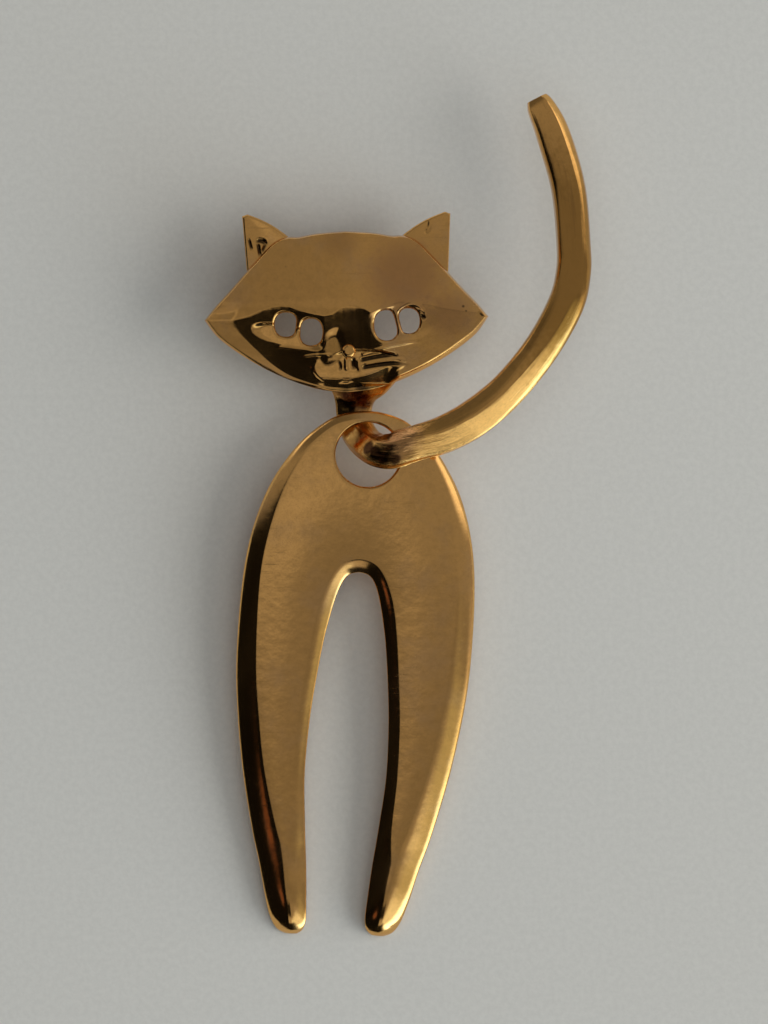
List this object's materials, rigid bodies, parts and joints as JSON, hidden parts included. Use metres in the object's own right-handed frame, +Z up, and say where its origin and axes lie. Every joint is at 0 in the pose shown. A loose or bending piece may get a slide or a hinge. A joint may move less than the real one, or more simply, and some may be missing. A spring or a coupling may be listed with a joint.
{
  "type": "brooch",
  "caption": "Cat brooch whose cast head hooks through a pressed body plate and sweeps on as the tail; the body swings from the hook, and a pin behind the face fastens it to cloth.",
  "frame": {"origin": "on the surface that the brooch lies on, below the middle of its bounding box", "axes": "+X to the right as seen from the front, +Y towards the head and the tail's tip, +Z up out of the face"},
  "size_m": [0.0413, 0.0902, 0.0087],
  "materials": {
    "cast_gold": "polished gold plate over a casting, lightly scratched and hazed",
    "sheet_gold": "polished gold plate over pressed sheet, fine scratches",
    "pin_metal": "plated pin finding, lightly brushed"
  },
  "bodies": {
    "head": {"head_and_tail": "cast_gold", "pin_clasp": "pin_metal"},
    "body": {"body_plate": "sheet_gold"}
  },
  "joints": [
    {"name": "body_swing", "type": "hinge", "parent": "head", "child": "body", "pos_m": [-0.0031, 0.00762, 0.00534], "axis": [0, -0.059, 0.9983], "range_deg": [-28, 36]}
  ]
}
